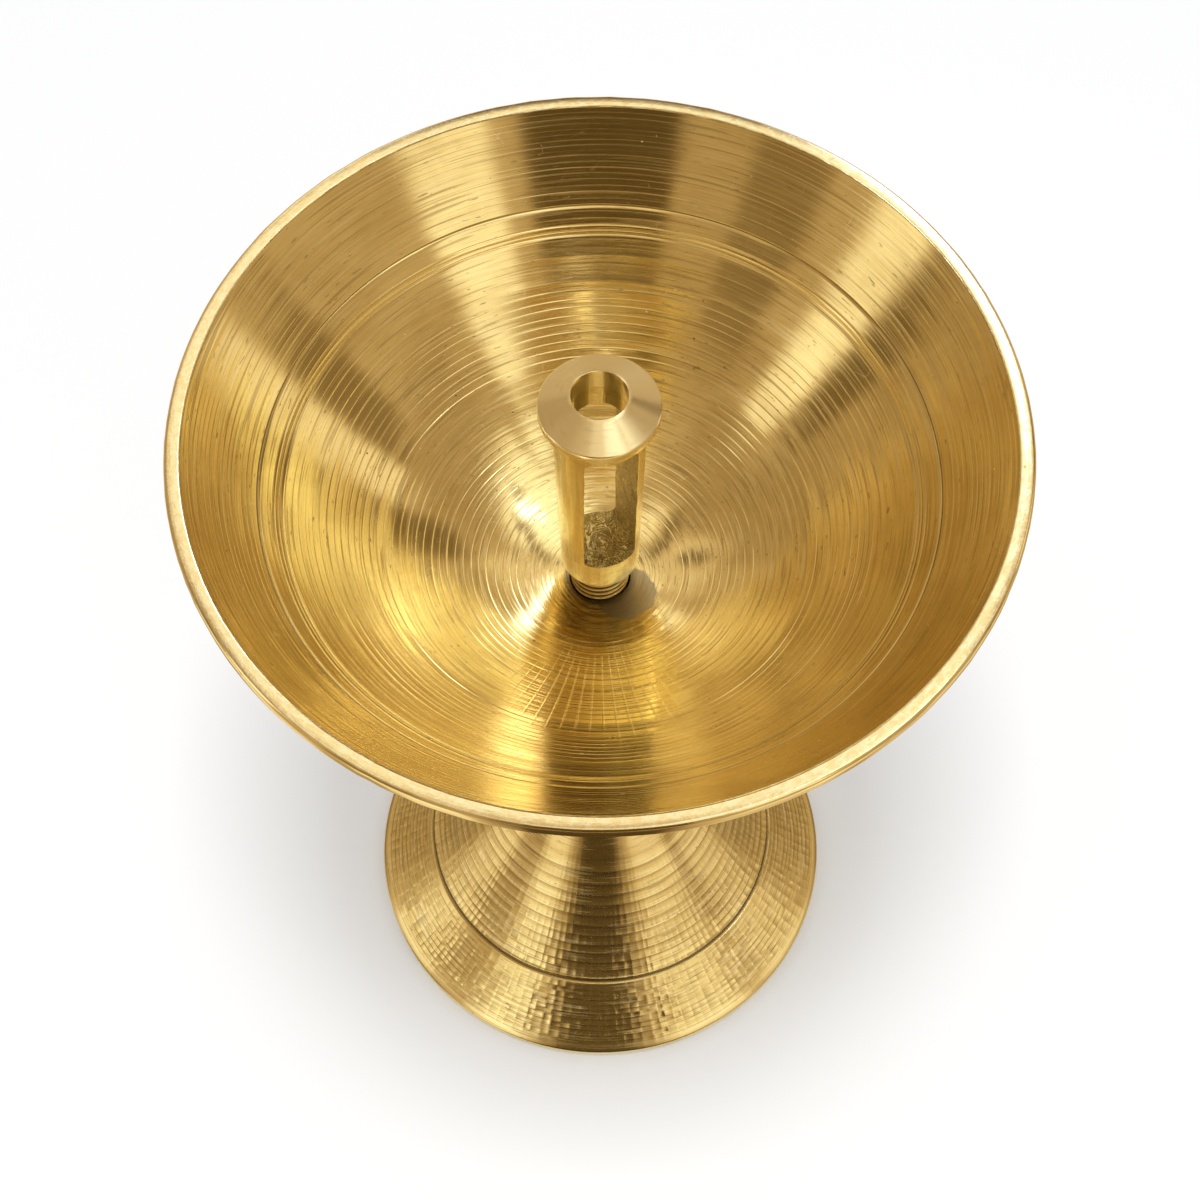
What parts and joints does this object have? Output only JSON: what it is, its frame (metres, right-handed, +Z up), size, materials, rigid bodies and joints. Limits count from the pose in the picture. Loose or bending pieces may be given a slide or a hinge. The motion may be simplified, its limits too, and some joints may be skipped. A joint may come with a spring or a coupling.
{
  "type": "oil lamp",
  "caption": "Small turned brass oil lamp: a wide open bowl on a hollow trumpet stand, with an upright slotted wick holder screwed into the middle of the bowl.",
  "frame": {"origin": "on the table, on the lamp's axis, at the middle of the foot's flat rest ring", "axes": "+Z up along the lamp's axis; the wick holder's slot runs along Y, with its higher sill towards -Y"},
  "size_m": [0.1, 0.1, 0.1303],
  "materials": {
    "stand_brass": "coarsely turned brass casting with chatter marks and a few pits",
    "bowl_brass": "turned brass with fine concentric grooves, lightly polished",
    "wick_holder_brass": "polished turned brass with a rough cast slot"
  },
  "bodies": {
    "stand": {"stand": "stand_brass"},
    "bowl": {"bowl": "bowl_brass"},
    "wick_holder": {"wick_holder": "wick_holder_brass"}
  },
  "joints": [
    {"name": "bowl_lift", "type": "slide", "parent": "stand", "child": "bowl", "axis": [0, 0, 1], "range_m": [0, 0.03]},
    {"name": "wick_holder_lift", "type": "slide", "parent": "bowl", "child": "wick_holder", "axis": [0, 0, 1], "range_m": [0, 0.05]}
  ]
}
